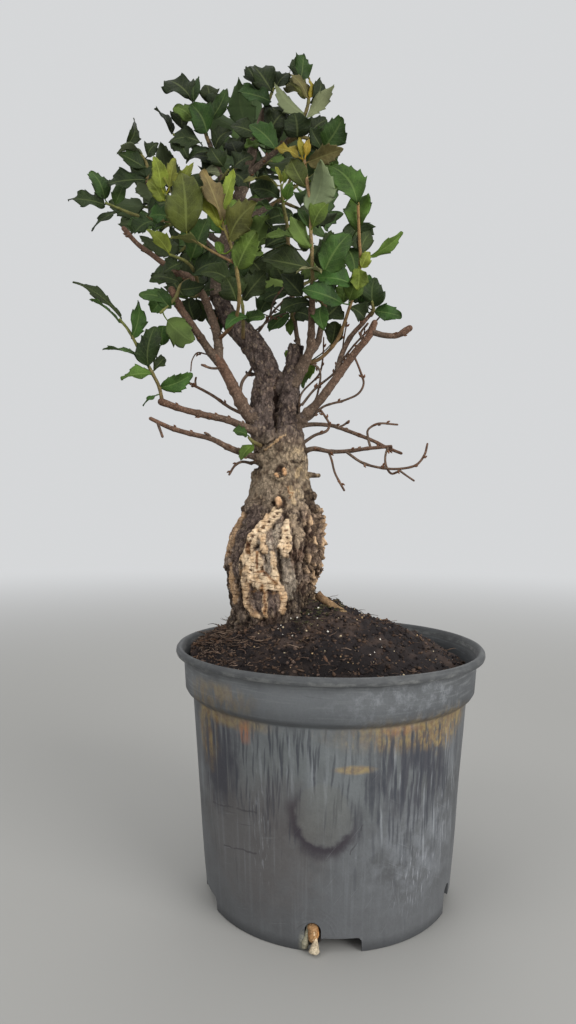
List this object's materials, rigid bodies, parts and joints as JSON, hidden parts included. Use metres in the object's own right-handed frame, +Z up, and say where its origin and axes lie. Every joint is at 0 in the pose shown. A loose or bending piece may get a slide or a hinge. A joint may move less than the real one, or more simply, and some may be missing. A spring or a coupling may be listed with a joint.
{
  "type": "potted cork oak bonsai tree",
  "caption": "Cork oak bonsai in training: a swollen corky trunk forking into limbs, bare twigs and leafy shoots, in a round plastic nursery pot of soil.",
  "frame": {"origin": "centre of the flat underside that the pot stands on", "axes": "+Z up along the pot's axis; -Y is the front, where a root hangs out of the pot's drain hole; +X is to the right, seen from the front"},
  "size_m": [0.3099, 0.2251, 0.6133],
  "materials": {
    "pot_plastic": "blue-grey moulded plastic with fine upright rain marks, scuffs and ochre stains",
    "potting_mix": "dark crumbly organic potting mix with fibres and white perlite grains",
    "cork_bark": "deeply furrowed grey-brown cork bark with cream patches",
    "twig_bark": "thin scaly grey-brown bark",
    "root": "bare ochre-brown root skin",
    "leaf": "leathery dark green leaf with a soft gloss and a paler underside",
    "young_leaf": "young yellow-green leaf, partly bronze, with a soft gloss"
  },
  "bodies": {
    "root": {"nursery_pot": "pot_plastic", "potting_mix": "potting_mix", "trunk": "cork_bark", "drain_root": "root", "surface_root": "root", "leader": "twig_bark", "branch_centre": "twig_bark", "branch_left_tall": "twig_bark", "branch_left_middle": "twig_bark", "branch_left_low": "twig_bark", "branch_right_rising": "twig_bark", "branch_right_level": "twig_bark", "branch_right_drooping": "twig_bark", "twig_left_thin": "twig_bark", "twig_left_lowest": "twig_bark", "twig_left_cross": "twig_bark", "twig_right_hooked": "twig_bark", "twig_right_arc": "twig_bark", "shoot_hero": "young_leaf", "shoot_centre": "young_leaf", "shoot_right": "young_leaf", "shoot_young_left": "young_leaf", "shoot_left_end": "young_leaf", "shoot_middle_high": "young_leaf", "shoot_behind_stub": "young_leaf", "shoot_top_right": "leaf", "shoot_right_upper": "leaf", "shoot_top_middle": "leaf", "shoot_inner_top": "leaf", "shoot_top_left": "leaf", "shoot_top_left_low": "leaf", "shoot_upper_left": "leaf", "shoot_far_left": "leaf", "shoot_left_centre": "leaf", "shoot_left_side": "leaf", "shoot_left_back": "leaf", "shoot_front_low": "leaf", "shoot_front_dark": "leaf", "shoot_thin_low": "leaf", "shoot_middle_dark": "leaf", "shoot_right_low": "leaf", "shoot_low_left": "leaf", "shoot_back_left_low": "leaf", "shoot_back_left_high": "leaf", "shoot_back_right_low": "leaf", "shoot_back_right_high": "leaf", "shoot_back_top": "leaf", "shoot_back_middle": "leaf", "shoot_back_low": "leaf", "shoot_back_low_left": "leaf", "shoot_back_centre": "leaf", "shoot_side_right": "leaf", "shoot_side_left": "leaf", "shoot_low_right": "leaf", "shoot_mid_right": "leaf", "shoot_mid_left": "leaf", "shoot_mid_top": "leaf", "shoot_mid_low": "leaf"}
  },
  "joints": []
}
